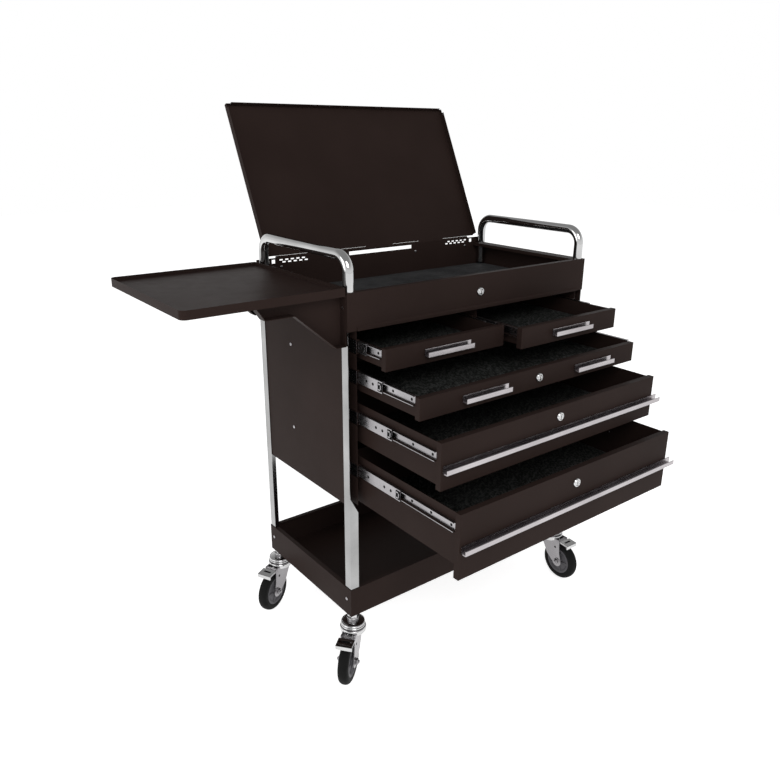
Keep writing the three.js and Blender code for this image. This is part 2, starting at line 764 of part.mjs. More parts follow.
function addCaster({ name, x, y, trails }) {
  const place = new THREE.Group();
  place.position.set(x, y, 0);
  place.rotation.z = THREE.MathUtils.degToRad(trails);
  chest.add(place);
  add(`caster_${name}_stem`, casterStem(), ZINC, place);
  add(`caster_${name}_fork`, casterFork(), ZINC, place);
  add(`caster_${name}_wheel`, casterWheel(), RUBBER, place);
  add(`caster_${name}_brake`, brakePedal(), ZINC, place);
}

// ---------------------------------------------------------------- assembly

add('lower_shelf', lowerShelf(), PAINT);
add('post_front_left', cornerPost(false, false), CHROME);
add('post_front_right', cornerPost(true, false), CHROME);
add('post_rear_left', cornerPost(false, true), CHROME);
add('post_rear_right', cornerPost(true, true), CHROME);
add('side_panel_left', sidePanel(), PAINT);
add('side_panel_right', mirrorX(sidePanel()), PAINT);
add('back_panel', backPanel(), PAINT);
add('slide_rack_left', slideRack(), PAINT);
add('slide_rack_right', mirrorX(slideRack()), PAINT);
add('middle_divider', middleDivider(), PAINT);

add('top_box', topBox(), PAINT);
add('handle_left', sideHandle(), CHROME);
add('handle_right', mirrorX(sideHandle()), CHROME);
add('lid', lid(), PAINT);
add('lid_hinge_pin', rodX(58, WIDTH - 58, HINGE_Y, HINGE_Z, PIN_RADIUS, 10), ZINC);
add('top_box_lock', lock(0, BOX_LOCK_Z), CHROME);

add('side_tray', sideTray(), PAINT);
add('tray_bracket_front', trayBracket(false), PAINT);
add('tray_bracket_rear', trayBracket(true), PAINT);

for (const drawer of DRAWERS) {
  add(`${drawer.name}_box`, drawerBox(drawer), PAINT);
  for (const { side, x, towards } of slideSides(drawer)) {
    add(`${drawer.name}_slide_${side}`, middleChannel(x, towards, drawer.slideZ, drawer.open), ZINC);
  }
  for (const pull of drawer.pulls) {
    add(pull.name, drawerPull(drawer, pull), ALUMINIUM);
  }
  if (drawer.lockZ) {
    add(`${drawer.name}_lock`, lock(-drawer.open, drawer.lockZ), CHROME);
  }
}

for (const caster of CASTERS) {
  addCaster(caster);
}

// The origin goes to the middle of the bounding box, at floor level.
chest.updateMatrixWorld(true);
const bounds = new THREE.Box3().setFromObject(chest, true);
const centre = bounds.getCenter(new THREE.Vector3());
chest.position.set(-centre.x, -centre.y, -bounds.min.z);
chest.updateMatrixWorld(true);

export default chest;
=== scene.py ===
"""Looks for a rolling tool chest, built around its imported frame. Metres, +Z up, front towards -Y."""

import json
import math

import bmesh
import bpy
from mathutils import Matrix, Vector


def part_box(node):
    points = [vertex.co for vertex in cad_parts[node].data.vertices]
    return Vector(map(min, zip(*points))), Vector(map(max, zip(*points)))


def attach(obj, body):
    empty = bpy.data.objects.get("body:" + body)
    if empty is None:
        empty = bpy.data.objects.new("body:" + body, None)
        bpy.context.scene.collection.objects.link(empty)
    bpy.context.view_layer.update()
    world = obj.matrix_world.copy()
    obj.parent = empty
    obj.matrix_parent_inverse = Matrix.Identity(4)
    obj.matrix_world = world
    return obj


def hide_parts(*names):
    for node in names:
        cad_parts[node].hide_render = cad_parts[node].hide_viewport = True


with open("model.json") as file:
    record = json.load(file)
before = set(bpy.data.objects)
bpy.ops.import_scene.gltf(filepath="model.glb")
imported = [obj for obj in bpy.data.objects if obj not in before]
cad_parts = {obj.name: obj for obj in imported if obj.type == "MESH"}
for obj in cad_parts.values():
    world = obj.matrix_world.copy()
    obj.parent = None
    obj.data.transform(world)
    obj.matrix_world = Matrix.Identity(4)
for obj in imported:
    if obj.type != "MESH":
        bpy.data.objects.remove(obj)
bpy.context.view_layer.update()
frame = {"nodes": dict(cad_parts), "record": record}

MM = 0.001
SHELF_Z = 215  # the lower shelf's underside, above the zero that every height here is counted from
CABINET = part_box("lower_shelf")
WIDTH = (CABINET[1][0] - CABINET[0][0]) / MM
DEPTH = (CABINET[1][1] - CABINET[0][1]) / MM
ORIGIN = Vector((CABINET[0][0], CABINET[0][1], CABINET[0][2] - SHELF_Z * MM))


def at(x, y, z):
    """A point in the cabinet's own millimetres (from its front left corner) as a point in the frame."""
    return ORIGIN + Vector((x, y, z)) * MM


# ---------------------------------------------------------------- materials


class Nodes:
    """A short way to write a material's node tree."""

    def __init__(self, name):
        self.material = bpy.data.materials.new(name)
        self.material.use_nodes = True
        self.tree = self.material.node_tree
        self.shader = self.tree.nodes["Principled BSDF"]

    def add(self, kind, **inputs):
        node = self.tree.nodes.new(kind)
        for key, value in inputs.items():
            node.inputs[key.replace("_", " ")].default_value = value
        return node

    def link(self, output, target):
        self.tree.links.new(output, target)

    def set(self, **inputs):
        for key, value in inputs.items():
            self.shader.inputs[key.replace("_", " ")].default_value = value

    def coordinates(self, scale=(1, 1, 1)):
        source = self.add("ShaderNodeTexCoord")
        mapping = self.add("ShaderNodeMapping", Scale=scale)
        self.link(source.outputs["Object"], mapping.inputs["Vector"])
        return mapping.outputs["Vector"]

    def noise(self, scale, stretch=(1, 1, 1), detail=3.0, roughness=0.5):
        node = self.add("ShaderNodeTexNoise", Scale=scale, Detail=detail, Roughness=roughness)
        self.link(self.coordinates(stretch), node.inputs["Vector"])
        return node.outputs["Fac"]

    def ramp(self, factor, low, high, start=0.3, end=0.7):
        node = self.tree.nodes.new("ShaderNodeValToRGB")
        node.color_ramp.elements[0].position = start
        node.color_ramp.elements[1].position = end
        node.color_ramp.elements[0].color = low
        node.color_ramp.elements[1].color = high
        self.link(factor, node.inputs["Fac"])
        return node.outputs["Color"]

    def spread(self, factor, low, high, start=0.3, end=0.7):
        node = self.add("ShaderNodeMapRange", From_Min=start, From_Max=end, To_Min=low, To_Max=high)
        self.link(factor, node.inputs["Value"])
        return node.outputs["Result"]

    def bump(self, height, strength, distance):
        node = self.add("ShaderNodeBump", Strength=strength, Distance=distance)
        self.link(height, node.inputs["Height"])
        self.link(node.outputs["Normal"], self.shader.inputs["Normal"])


def grey(value, alpha=1.0):
    return (value, value, value, alpha)


def powder_coat(name, dark, light, roughness):
    """Powder-coated sheet steel: a fine orange-peel surface with a faint cloud in its colour."""
    n = Nodes(name)
    cloud = n.noise(6.0, detail=2.0)
    n.link(n.ramp(cloud, dark, light), n.shader.inputs["Base Color"])
    n.link(n.spread(n.noise(35.0), roughness - 0.015, roughness + 0.02), n.shader.inputs["Roughness"])
    n.bump(n.noise(900.0, detail=2.0), 0.12, 0.0002)
    n.set(Metallic=0.0, IOR=1.5, Specular_IOR_Level=0.025)
    return n.material


def bright_metal(name, dark, light, roughness, spread, stretch, fineness, bump):
    """A bare or plated metal whose fine marks run one way."""
    n = Nodes(name)
    marks = n.noise(fineness, stretch, detail=4.0, roughness=0.6)
    n.link(n.ramp(n.noise(9.0, detail=3.0), dark, light), n.shader.inputs["Base Color"])
    n.link(n.spread(marks, roughness, roughness + spread), n.shader.inputs["Roughness"])
    n.bump(marks, bump, 0.0001)
    n.set(Metallic=1.0)
    return n.material


def rubber(name, dark, light, roughness, fineness=220.0, bump=0.25):
    n = Nodes(name)
    n.link(n.ramp(n.noise(14.0), dark, light), n.shader.inputs["Base Color"])
    n.link(n.spread(n.noise(60.0), roughness - 0.08, roughness + 0.06), n.shader.inputs["Roughness"])
    n.bump(n.noise(fineness), bump, 0.0003)
    n.set(Specular_IOR_Level=0.06)
    return n.material


def ribbed_rubber(name, dark, light):
    """A liner's rubber, whose ribs are broken into small lighter flecks."""
    n = Nodes(name)
    flecks = n.noise(260.0, stretch=(1.0, 0.5, 1.0), detail=1.0)
    n.link(n.ramp(flecks, dark, light, 0.46, 0.62), n.shader.inputs["Base Color"])
    n.bump(flecks, 0.5, 0.001)
    n.set(Roughness=0.5, Specular_IOR_Level=0.25)
    return n.material


PAINT = powder_coat("powder_coat", (0.0185, 0.0116, 0.0100, 1), (0.0215, 0.0136, 0.0118, 1), 0.42)
CHROME = bright_metal("chrome", grey(0.46), grey(0.60), 0.05, 0.05, (1, 1, 1), 60.0, 0.02)
# The posts share the chrome slot but take a darker copy of the chrome: its darker colour is painted shade.
SHADED_POST_CHROME = bright_metal("post_chrome_painted_shade", grey(0.25), grey(0.36), 0.12, 0.10, (60, 60, 1), 18.0, 0.05)
ZINC = bright_metal(
    "zinc", (0.25, 0.24, 0.25, 1), (0.36, 0.35, 0.36, 1), 0.20, 0.14, (40, 1, 40), 30.0, 0.10)
PULL = bright_metal(
    "pull_metal", (0.36, 0.335, 0.345, 1), (0.46, 0.435, 0.445, 1), 0.20, 0.10, (1, 60, 60), 25.0, 0.06)
TYRE = rubber("tyre", grey(0.005), grey(0.009), 0.62)
HUB = rubber("hub", (0.075, 0.072, 0.078, 1), (0.10, 0.097, 0.104, 1), 0.42, fineness=400.0, bump=0.08)
LINER = ribbed_rubber("liner", (0.006, 0.0066, 0.006, 1), (0.052, 0.054, 0.052, 1))
MAT = rubber("mat", (0.028, 0.028, 0.029, 1), (0.046, 0.046, 0.047, 1), 0.55)
SHADOW = rubber("shadow_black", grey(0.003), grey(0.005), 0.7)

SLOT_LOOKS = {
    "painted_steel": PAINT,
    "chrome": CHROME,
    "zinc_plate": ZINC,
    "pull_metal": PULL,
    "tyre": TYRE,
    "hub_plastic": HUB,
    "liner": LINER,
    "mat": MAT,
}

node_slot = {part["node"]: part["material_slot"] for part in frame["record"]["subparts"]}
for name, node in frame["nodes"].items():
    node.data.materials.clear()
    # Painted shade: the posts get the darker copy of the chrome, every other part its slot's look.
    node.data.materials.append(SHADED_POST_CHROME if name.startswith("post_") else SLOT_LOOKS[node_slot[name]])
    if node_slot[name] in ("painted_steel", "zinc_plate", "pull_metal", "chrome"):
        bevel = node.modifiers.new("soft_edges", "BEVEL")
        bevel.width = 0.00035
        bevel.segments = 2
        bevel.limit_method = "ANGLE"
        bevel.angle_limit = math.radians(40)
        bevel.harden_normals = False

# ---------------------------------------------------------------- stage, light and camera


def make_floor():
    mesh = bpy.data.meshes.new("floor")
    size = 12.0
    mesh.from_pydata(
        [(-size, -size, 0), (size, -size, 0), (size, size, 0), (-size, size, 0)], [], [(0, 1, 2, 3)]
    )
    floor = bpy.data.objects.new("floor", mesh)
    bpy.context.scene.collection.objects.link(floor)
    n = Nodes("floor_white")
    n.set(Base_Color=grey(0.90), Roughness=0.9, Specular_IOR_Level=0.0)
    n.set(Emission_Color=grey(1.0), Emission_Strength=0.72)
    mesh.materials.append(n.material)


def area_light(name, location, target, width, height, power):
    data = bpy.data.lights.new(name, "AREA")
    data.shape = "RECTANGLE"
    data.size = width
    data.size_y = height
    data.energy = power
    light = bpy.data.objects.new(name, data)
    light.location = location
    light.rotation_euler = (Vector(target) - Vector(location)).to_track_quat("-Z", "Y").to_euler()
    bpy.context.scene.collection.objects.link(light)


def make_world(low, high):
    """White to the camera; to everything else a studio that darkens from the horizon upwards."""
    world = bpy.data.worlds.new("studio")
    bpy.context.scene.world = world
    world.use_nodes = True
    tree = world.node_tree
    studio = tree.nodes["Background"]
    studio.inputs["Color"].default_value = grey(1.0)
    white = tree.nodes.new("ShaderNodeBackground")
    white.inputs["Color"].default_value = grey(1.0)
    white.inputs["Strength"].default_value = 1.0
    source = tree.nodes.new("ShaderNodeTexCoord")
    split = tree.nodes.new("ShaderNodeSeparateXYZ")
    fall = tree.nodes.new("ShaderNodeMapRange")
    fall.interpolation_type = "SMOOTHSTEP"
    fall.inputs["From Min"].default_value = 0.05
    fall.inputs["From Max"].default_value = 0.75
    fall.inputs["To Min"].default_value = low
    fall.inputs["To Max"].default_value = high
    path = tree.nodes.new("ShaderNodeLightPath")
    mix = tree.nodes.new("ShaderNodeMixShader")
    tree.links.new(source.outputs["Generated"], split.inputs["Vector"])
    tree.links.new(split.outputs["Z"], fall.inputs["Value"])
    tree.links.new(fall.outputs["Result"], studio.inputs["Strength"])
    tree.links.new(path.outputs["Is Camera Ray"], mix.inputs["Fac"])
    tree.links.new(studio.outputs["Background"], mix.inputs[1])
    tree.links.new(white.outputs["Background"], mix.inputs[2])
    tree.links.new(mix.outputs["Shader"], tree.nodes["World Output"].inputs["Surface"])


def make_camera():
    azimuth, elevation, roll = math.radians(-37.55), math.radians(19.48), math.radians(0.35)
    back = Vector((
        math.sin(azimuth) * math.cos(elevation),
        -math.cos(azimuth) * math.cos(elevation),
        math.sin(elevation),
    ))
    level = Vector((0, 0, 1)).cross(back).normalized()
    up = back.cross(level)
    right = level * math.cos(roll) + up * math.sin(roll)
    up = back.cross(right)
    data = bpy.data.cameras.new("camera")
    data.sensor_width = 36.0
    data.lens = 33.67
    data.clip_end = 60
    camera = bpy.data.objects.new("camera", data)
    camera.matrix_world = Matrix.Translation(at(-869.4, -1285.8, 1373.9)) @ Matrix((
        (right.x, up.x, back.x, 0),
        (right.y, up.y, back.y, 0),
        (right.z, up.z, back.z, 0),
        (0, 0, 0, 1),
    ))
    bpy.context.scene.collection.objects.link(camera)
    bpy.context.scene.camera = camera


make_floor()
make_world(1.0, 0.35)
area_light("key", (-1.6, -3.2, 3.6), (0.2, 0, 0.8), 2.4, 2.0, 90)
area_light("fill", (-3.6, 0.6, 2.0), (0.2, 0, 0.8), 2.0, 2.0, 30)
make_camera()
bpy.context.scene.view_settings.view_transform = "Standard"

# ---------------------------------------------------------------- mesh helpers


def put(name, mesh, material, body, smooth_angle=35.0):
    """Makes a mesh into a named piece that rides on a body."""
    piece = bpy.data.objects.new(name, mesh)
    bpy.context.scene.collection.objects.link(piece)
    mesh.materials.append(material)
    if smooth_angle:
        mesh.shade_smooth()
        mesh.set_sharp_from_angle(angle=math.radians(smooth_angle))
    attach(piece, body)
    return piece


def finish_mesh(name, bm, place=None):
    """A bmesh in the cabinet's millimetres, moved to its place, as a mesh in the frame's metres."""
    if place is not None:
        bmesh.ops.transform(bm, matrix=place, verts=bm.verts)
    bmesh.ops.recalc_face_normals(bm, faces=bm.faces)
    bmesh.ops.transform(bm, matrix=Matrix.Translation(ORIGIN) @ Matrix.Scale(MM, 4), verts=bm.verts)
    mesh = bpy.data.meshes.new(name)
    bm.to_mesh(mesh)
    bm.free()
    return mesh


def soften(bm, width, segments=2):
    """Rounds every edge that turns by more than about thirty degrees."""
    edges = [e for e in bm.edges if len(e.link_faces) == 2 and e.calc_face_angle() > 0.5]
    bmesh.ops.bevel(bm, geom=edges, offset=width, segments=segments, profile=0.5, affect="EDGES")


def absorb(bm, part, matrix):
    """Adds a small part to a mesh, turned and moved."""
    bmesh.ops.transform(part, matrix=matrix, verts=part.verts)
    copy = bpy.data.meshes.new("part")
    part.to_mesh(copy)
    part.free()
    bm.from_mesh(copy)
    bpy.data.meshes.remove(copy)


def add_box(bm, x0, x1, y0, y1, z0, z1):
    centre = Vector(((x0 + x1) / 2, (y0 + y1) / 2, (z0 + z1) / 2))
    size = Matrix.Diagonal((x1 - x0, y1 - y0, z1 - z0, 1))
    bmesh.ops.create_cube(bm, size=1.0, matrix=Matrix.Translation(centre) @ size)


def add_prism(bm, outline, low, high):
    """A plate with this (x, z) outline, from y = low to y = high."""
    front = [bm.verts.new((x, low, z)) for x, z in outline]
    back = [bm.verts.new((x, high, z)) for x, z in outline]
    count = len(outline)
    bm.faces.new(front)
    bm.faces.new(back[::-1])
    for i in range(count):
        j = (i + 1) % count
        bm.faces.new((front[i], front[j], back[j], back[i]))


def add_lathe(bm, profile, segments, matrix=Matrix.Identity(4)):
    """Turns (radius, height) points about the z axis. A profile that ends where it starts makes a ring."""
    closed = profile[0] == profile[-1]
    rings = []
    for radius, height in profile[:-1] if closed else profile:
        if radius < 1e-6:
            rings.append([bm.verts.new(matrix @ Vector((0, 0, height)))])
            continue
        ring = []
        for i in range(segments):
            angle = 2 * math.pi * i / segments
            point = Vector((radius * math.cos(angle), radius * math.sin(angle), height))
            ring.append(bm.verts.new(matrix @ point))
        rings.append(ring)
    if closed:
        rings.append(rings[0])
    for low, high in zip(rings, rings[1:]):
        for i in range(segments):
            j = (i + 1) % segments
            if len(low) == 1:
                bm.faces.new((low[0], high[j], high[i]))
            elif len(high) == 1:
                bm.faces.new((low[i], low[j], high[0]))
            else:
                bm.faces.new((low[i], low[j], high[j], high[i]))


def rounded(profile, radius, steps=4):
    """Rounds the inner corners of an open (radius, height) profile."""
    points = [Vector(p) for p in profile]
    out = [points[0]]
    for before, corner, after in zip(points, points[1:], points[2:]):
        to_before = before - corner
        to_after = after - corner
        reach = min(radius, to_before.length * 0.45, to_after.length * 0.45)
        start = corner + to_before.normalized() * reach
        end = corner + to_after.normalized() * reach
        for step in range(steps + 1):
            t = step / steps
            out.append(start * (1 - t) ** 2 + corner * 2 * t * (1 - t) + end * t ** 2)
    out.append(points[-1])
    return [tuple(p) for p in out]


def turn_to(axis):
    """A turn that takes +Z to this axis."""
    return Vector(axis).to_track_quat("Z", "Y").to_matrix().to_4x4()


def screws(name, places, body, radius=4.0, height=2.0):
    """Pan-head screws, each lying on a face with its head along an axis."""
    bm = bmesh.new()
    sunk = -0.3
    profile = [(0, sunk), (radius, sunk), (radius, height * 0.5), (radius * 0.6, height), (0, height)]
    head = rounded(profile, 1.2, 3)
    for centre, axis in places:
        add_lathe(bm, head, 20, Matrix.Translation(Vector(centre)) @ turn_to(axis))
    return put(name, finish_mesh(name, bm), ZINC, body)


# ---------------------------------------------------------------- tube handles


TUBE_X = 14.5
TUBE_Y = 15
TUBE_RADIUS = 12.5
TUBE_FOOT = 985
TUBE_TOP = 1122
TUBE_BEND = 38


def tube_line(x, steps):
    """Stations (point, direction) along a handle, from its front foot to its rear foot."""
    near, far = TUBE_Y, DEPTH - TUBE_Y
    line = [(Vector((x, near, TUBE_FOOT)), Vector((0, 0, 1)))]
    for centre, begin in ((near + TUBE_BEND, 180), (far - TUBE_BEND, 90)):
        for step in range(steps + 1):
            angle = math.radians(begin - 90 * step / steps)
            c, s = math.cos(angle), math.sin(angle)
            point = Vector((x, centre + TUBE_BEND * c, TUBE_TOP - TUBE_BEND + TUBE_BEND * s))
            line.append((point, Vector((0, s, -c))))
    line.append((Vector((x, far, TUBE_FOOT)), Vector((0, 0, -1))))
    return line


def make_handle(node, x):
    sides = 32
    angles = [2 * math.pi * i / sides for i in range(sides)]
    bm = bmesh.new()
    across = Vector((1, 0, 0))
    rings = []
    for point, direction in tube_line(x, 14):
        up = direction.cross(across)
        spokes = [across * math.cos(angle) + up * math.sin(angle) for angle in angles]
        rings.append([bm.verts.new(point + TUBE_RADIUS * spoke) for spoke in spokes])
    for low, high in zip(rings, rings[1:]):
        for i in range(sides):
            j = (i + 1) % sides
            bm.faces.new((low[i], low[j], high[j], high[i]))
    bm.faces.new(rings[0])
    bm.faces.new(rings[-1][::-1])
    piece = put(f"{node}_tube", finish_mesh(node, bm), CHROME, "housing", 60)
    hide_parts(node)


for node, x in (("handle_left", TUBE_X), ("handle_right", WIDTH - TUBE_X)):
    make_handle(node, x)

# ---------------------------------------------------------------- casters

joints = {joint["name"]: joint for joint in frame["record"]["behaviour"]["joints"]}


def caster_place(name):
    """The caster's own frame: its stem on z, the wheel trailing along +X, in the cabinet's millimetres."""
    stem = (Vector(joints[f"caster_{name}_swivel"]["pos_m"]) - ORIGIN) / MM
    axle = (Vector(joints[f"caster_{name}_roll"]["pos_m"]) - ORIGIN) / MM
    turn = Matrix.Rotation(math.atan2(axle.y - stem.y, axle.x - stem.x), 4, "Z")
    return Matrix.Translation((stem.x, stem.y, 0)) @ turn


WHEEL_RADIUS = 60.0
AXLE_Z = 100.0
TRAIL = 44.0
HALF_TYRE = 14.0
AXLE = Matrix.Translation((TRAIL, 0, AXLE_Z)) @ Matrix.Rotation(math.radians(90), 4, "X")


def caster_wheel(name, place):
    body = f"caster_{name}_wheel"
    bm = bmesh.new()
    half = [(41.0, 12.6), (50.0, HALF_TYRE), (56.5, 11.0), (59.4, 6.0)]
    shoulder = [(r, -h) for r, h in half] + [(WHEEL_RADIUS, 0)] + half[::-1]
    tread = rounded(shoulder, 4.0, 4)
    add_lathe(bm, tread + [(39.5, 8.0), (39.5, -8.0), tread[0]], 72, AXLE)
    tyre = put(f"{body}_tyre", finish_mesh(body, bm, place), TYRE, body, 50)
    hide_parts(body)

    bm = bmesh.new()
    side = rounded([(5.4, 13.6), (12.0, 13.6), (13.0, 9.5), (31.0, 8.4), (35.0, 12.2), (39.5, 13.2),
                    (41.4, 11.8)], 1.6, 3)
    ring = side + [(r, -h) for r, h in reversed(side)] + [side[0]]
    add_lathe(bm, ring, 64, AXLE)
    for i in range(5):
        for face in (1, -1):
            spoke = bmesh.new()
            add_box(spoke, 11, 36, -2.2, 2.2, face * 9.8 - 1.6, face * 9.8 + 1.6)
            soften(spoke, 0.9, 2)
            absorb(bm, spoke, AXLE @ Matrix.Rotation(2 * math.pi * i / 5, 4, "Z"))
    put(f"{body}_hub", finish_mesh(body, bm, place), HUB, body, 40)


def caster_fork(name, place):
    body = f"caster_{name}_fork"
    bm = bmesh.new()
    washer = [(0, 18), (11, 18), (11, 20.0), (9.2, 20.6), (0, 20.6)]
    nut = rounded([(0, 20.4), (8.8, 20.4), (8.8, 25.0), (7.2, 26.6), (0, 26.6)], 0.6, 2)
    thread_end = [(0, 26.0), (4.6, 26.0), (4.6, 28.6), (3.6, 29.6), (0, 29.6)]
    for turn in (0, 180):
        outward = AXLE @ Matrix.Rotation(math.radians(turn), 4, "X")
        for profile, sides in ((washer, 24), (nut, 6), (thread_end, 20)):
            add_lathe(bm, profile, sides, outward)
    put(f"{body}_axle_ends", finish_mesh(body, bm, place), ZINC, body, 35)

    bm = bmesh.new()
    crown = [(30.0, 177.8), (33.0, 177.0), (34.4, 173.6), (34.4, 167.0), (33.0, 163.8), (30.0, 163.8)]
    crown = rounded(crown, 1.2, 3)
    add_lathe(bm, crown + [crown[0]], 56)
    put(f"{body}_crown_ring", finish_mesh(body, bm, place), CHROME, body, 40)

    bm = bmesh.new()
    for face in (1, -1):
        turn = Matrix.Translation((34, 0, 146)) @ Matrix.Rotation(math.radians(-90 * face), 4, "X")
        add_lathe(bm, [(0, 18.4), (3.4, 18.4), (3.4, 19.2), (0, 19.2)], 18, turn)
    put(f"{body}_side_dimples", finish_mesh(body, bm, place), SHADOW, body, 35)


def caster_stem(name, place):
    node = f"caster_{name}_stem"
    bm = bmesh.new()
    race = rounded([(0, 178.5), (29.0, 178.5), (31.4, 180.4), (31.4, 183.4), (29.6, 184.6), (29.6, 185.6),
                    (30.8, 186.6), (30.4, 189.0), (27.0, 191.6), (16.0, 193.6), (0, 193.6)], 0.9, 3)
    add_lathe(bm, race, 56)
    add_lathe(bm, rounded([(0, 193.4), (9.5, 193.4), (9.5, 201.6), (0, 201.6)], 0.5, 2), 30)
    add_lathe(bm, rounded([(0, 201.4), (16.0, 201.4), (16.0, 203.6), (0, 203.6)], 0.5, 2), 36)
    add_lathe(bm, [(0, 203.2), (12.8, 203.2), (14.0, 204.4), (14.0, 213.4), (12.8, 214.6), (0, 214.6)], 6)
    put(f"{node}_race", finish_mesh(node, bm, place), CHROME, "housing", 35)


def caster_brake(name, place):
    """The pedal's bright top and turned-down front edge, with a slot across it."""
    body = f"caster_{name}_brake"
    bm = bmesh.new()
    plate = [(53.6, 170.65), (82.1, 168.65), (82.1, 159.2), (82.9, 159.2), (83.2, 169.2), (81.6, 170.4),
             (53.6, 172.2)]
    add_prism(bm, plate, -21.4, 21.4)
    soften(bm, 0.3, 2)
    put(f"{body}_plate", finish_mesh(body, bm, place), CHROME, body, 35)
    bm = bmesh.new()
    add_box(bm, 62, 68, -11, 11, 170.4, 171.9)
    put(f"{body}_slot", finish_mesh(body, bm, place), SHADOW, body, 0)


for caster in ("front_left", "front_right", "rear_left", "rear_right"):
    here = caster_place(caster)
    caster_wheel(caster, here)
    caster_fork(caster, here)
    caster_stem(caster, here)
    caster_brake(caster, here)

# ---------------------------------------------------------------- drawers


def inside(node):
    """A drawer's inner floor span in the cabinet's millimetres: x0, x1, y0, y1, floor."""
    openings = frame["record"]["physics"]["openings"]
    opening = next(o for o in openings if o["name"] == f"{node}_inside")
    low, high = ((Vector(corner) - ORIGIN) / MM for corner in opening["box_m"])
    return low.x - 1.6, high.x + 1.6, low.y - 1.6, high.y + 1.6, low.z - 2.0


def ribbed_sheet(name, x0, x1, y0, y1, floor, pitch, height, material, slot, body):
    """A rubber liner whose fine ribs run from front to back."""
    bm = bmesh.new()
    count = int((x1 - x0) / pitch)
    pitch = (x1 - x0) / count
    low, top, under = floor + 0.7, floor + 0.7 + height, floor + 0.1
    rib = ((0, low), (0.18, top), (0.5, top), (0.68, low))
    profile = [(x0, under)]
    for i in range(count):
        left = x0 + i * pitch
        profile += [(left + pitch * share, z) for share, z in rib]
    profile += [(x1, low), (x1, under)]
    add_prism(bm, profile, y0, y1)
    return put(name, finish_mesh(name, bm), material, body, 0)


for number in range(1, 6):
    drawer = f"drawer_{number}"
    ribbed_sheet(f"{drawer}_liner", *inside(drawer), 6.0, 2.0, LINER, "liner", drawer)

ribbed_sheet("compartment_mat", 3, WIDTH - 3, 3, DEPTH - 3, 977.4, 5.0, 1.2, MAT, "mat", "housing")


PULL_OVERHANG = 22
PULL_SHEET = 2
PULL_LIP = 12
PULL_EDGE = 0.8


def pull_end(drawer):
    """The full-width pull's channel runs a little past the right end of its drawer front."""
    low, high = local_box(f"{drawer}_pull")
    back, lip, z0, z1 = high.y, low.y, low.z, high.z
    outline = [
        (back, z0),
        (back, z1),
        (back - PULL_SHEET, z1),
        (back - PULL_SHEET, z0 + PULL_SHEET),
        (lip + PULL_SHEET, z0 + PULL_SHEET),
        (lip + PULL_SHEET, z0 + PULL_LIP - PULL_EDGE),
        (lip + PULL_EDGE, z0 + PULL_LIP),
        (lip, z0 + PULL_LIP - PULL_EDGE),
        (lip, z0 + PULL_EDGE),
        (lip + PULL_EDGE, z0),
    ]
    bm = bmesh.new()
    add_prism(bm, outline, -high.x - PULL_OVERHANG, -high.x)
    turn = Matrix.Rotation(math.radians(90), 4, "Z")
    put(f"{drawer}_pull_end", finish_mesh(drawer, bm, turn), PULL, drawer, 0)

# ---------------------------------------------------------------- slides


def local_box(node):
    """A node's bounding box in the cabinet's millimetres, as its low and high corners."""
    low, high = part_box(node)
    return (Vector(low) - ORIGIN) / MM, (Vector(high) - ORIGIN) / MM


for drawer in ("drawer_4", "drawer_5"):
    pull_end(drawer)


def discs(name, places, radius, body):
    """Dark flat discs that stand for holes, each on a face with its axis outwards."""
    bm = bmesh.new()
    for centre, axis in places:
        add_lathe(bm, [(0, -0.2), (radius, -0.2), (radius, 0.12), (0, 0.12)], 18,
                  Matrix.Translation(Vector(centre)) @ turn_to(axis))
    put(name, finish_mesh(name, bm), SHADOW, body, 0)


CHANNEL_LENGTH = 375
RACK_FACE = 26.8


def drawer_channel_skin(slide, drawer, x, towards, z, y0):
    """Bright plate over the channel on the drawer's side, with its screw holes."""
    bm = bmesh.new()
    y1 = y0 + CHANNEL_LENGTH

    def plate(a, b, z0, z1):
        add_box(bm, min(a, b), max(a, b), y0, y1, z + z0, z + z1)

    web, lip = x - towards * 1.9, x - towards * 8.2
    plate(web, web + towards * 0.34, -9.3, 9.3)
    for side in (1, -1):
        plate(lip, x - towards * 0.2, side * 11.2 - 0.14, side * 11.2 + 0.14)
        plate(lip, lip + towards * 0.25, side * 10.4 - 0.9, side * 10.4 + 0.9)
    put(f"{slide}_drawer_skin", finish_mesh(slide, bm), ZINC, drawer, 0)
    holes = [((web, y, z), (-towards, 0, 0)) for y in (y0 + 12, y0 + 76, y0 + 140, y0 + 204)]
    discs(f"{slide}_drawer_holes", holes, 3.4, drawer)


def middle_channel_parts(slide, low, high, towards):
    """The middle channel's holes, and the black end clip and bright ball cage at its front."""
    z = (low.z + high.z) / 2
    face = low.x if towards > 0 else high.x
    outward = (-towards, 0, 0)
    holes = [((face, low.y + step, z), outward) for step in (34, 58, 120, 182)]
    discs(f"{slide}_holes", holes, 3.6, slide)

    def block(bm, a, b, y0, y1, z0, z1):
        add_box(bm, min(a, b), max(a, b), y0, y1, z0, z1)

    bm = bmesh.new()
    block(bm, face - towards * 0.1, face - towards * 0.9, low.y + 1, low.y + 15, z - 10.5, z + 10.5)
    put(f"{slide}_clip", finish_mesh(slide, bm), SHADOW, slide, 0)
    bm = bmesh.new()
    block(bm, face - towards * 0.1, face - towards * 1.4, low.y + 3, low.y + 13, z + 5.0, z + 8.0)
    block(bm, face - towards * 0.1, face - towards * 1.4, low.y + 3, low.y + 13, z - 8.0, z - 5.0)
    block(bm, face - towards * 0.1, face - towards * 1.4, low.y + 3, low.y + 5.5, z - 8.0, z + 8.0)
    put(f"{slide}_cage", finish_mesh(slide, bm), ZINC, slide, 0)


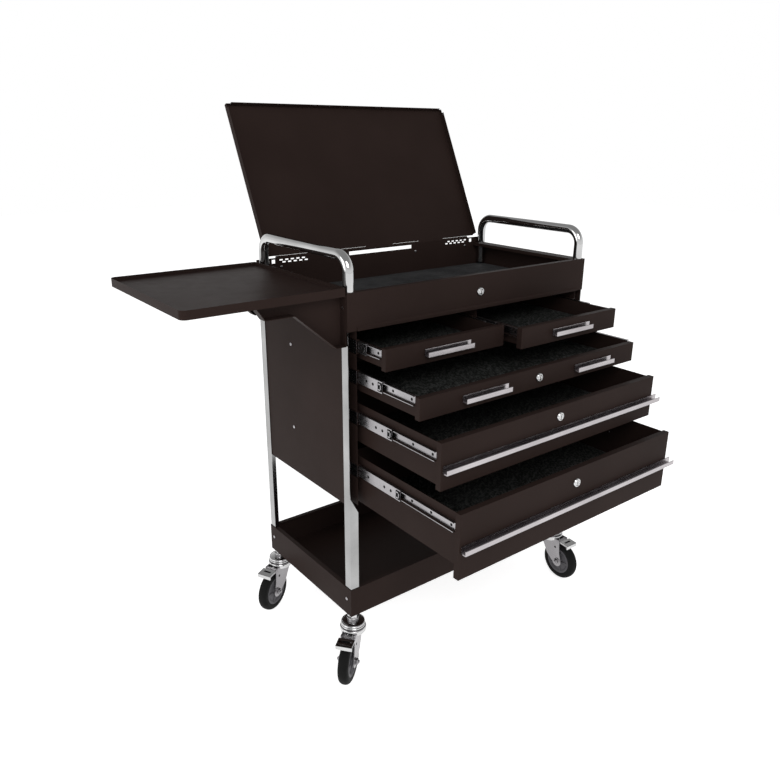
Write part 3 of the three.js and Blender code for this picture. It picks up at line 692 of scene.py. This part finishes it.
def fixed_channel_end(slide, x, towards, z):
    """The fixed channel's bright front end in the notch of its rack, with a screw hole."""
    bm = bmesh.new()
    face = x - towards * 0.45
    add_box(bm, min(x - towards * 0.22, face), max(x - towards * 0.22, face), 4, 39, z - 15.6, z + 15.6)
    put(f"{slide}_fixed_end", finish_mesh(slide, bm), ZINC, "housing", 0)
    discs(f"{slide}_fixed_hole", [((face, 24, z), (-towards, 0, 0))], 4.0, "housing")


for number in range(1, 6):
    drawer = f"drawer_{number}"
    for side in ("left", "right"):
        slide = f"{drawer}_slide_{side}"
        towards = 1 if side == "left" else -1
        low, high = local_box(slide)
        mount = low.x - 3 if towards > 0 else high.x + 3
        height = (low.z + high.z) / 2
        drawer_y = local_box(f"{drawer}_box")[0].y
        drawer_channel_skin(slide, drawer, mount + towards * 13.3, towards, height, drawer_y + 17)
        middle_channel_parts(slide, low, high, towards)
        if min(mount, WIDTH - mount) < RACK_FACE + 1:
            fixed_channel_end(slide, mount, towards, height)


def lock_face(name, centre, body):
    """A bright bezel round a lock, with its plug and key slot."""
    bm = bmesh.new()
    place = Matrix.Translation(Vector(centre)) @ turn_to((0, -1, 0))
    bezel = rounded([(6.4, 2.0), (7.0, 4.6), (9.6, 4.2), (11.2, 1.6), (11.2, 0.2), (6.4, 0.2)], 0.8, 3)
    add_lathe(bm, bezel + [bezel[0]], 40, place)
    add_lathe(bm, rounded([(0, 4.2), (5.4, 4.2), (6.2, 3.4), (6.2, 0.2), (0, 0.2)], 0.5, 2), 36, place)
    put(f"{name}_face", finish_mesh(name, bm), CHROME, body, 35)
    bm = bmesh.new()
    x, y, z = centre
    add_box(bm, x - 0.9, x + 0.9, y - 4.45, y - 3.6, z - 3.6, z + 3.6)
    put(f"{name}_key_slot", finish_mesh(name, bm), SHADOW, body, 0)


LOCK_HEIGHTS = {"top_box_lock": 1001, "drawer_3_lock": 832, "drawer_4_lock": 756, "drawer_5_lock": 612}
for name, z in LOCK_HEIGHTS.items():
    front = (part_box(name)[0][1] - ORIGIN.y) / MM + 3
    lock_face(name, (WIDTH / 2, front, z), name)

# ---------------------------------------------------------------- fasteners

SIDES = ((0, -1), (WIDTH, 1))
shelf_places = [((x, y, 260), (side, 0, 0)) for x, side in SIDES for y in (19, DEPTH - 19)]
handle_places = [((x, y, 1012), (side, 0, 0)) for x, side in SIDES for y in (16, DEPTH - 16)]
rivet_places = [((abs(x - 3.3), 257, z), (side, 0, 0)) for x, side in SIDES for z in (650, 873)]
wall_places = [((x, DEPTH - 1.2, 1038), (0, -1, 0)) for x in (72, 272, 528, 728)]
screws("lower_shelf_screws", shelf_places, "housing", 4.6)
screws("handle_screws", handle_places, "housing", 5.0)
screws("panel_rivets", rivet_places, "housing", 4.4, 1.6)
screws("rear_wall_screws", wall_places, "housing", 3.6, 1.6)
inner_wall = inside("drawer_5")[1] + 0.2
screws("drawer_5_wall_screw", [((inner_wall, -170, 591), (-1, 0, 0))], "drawer_5", 3.4, 1.6)
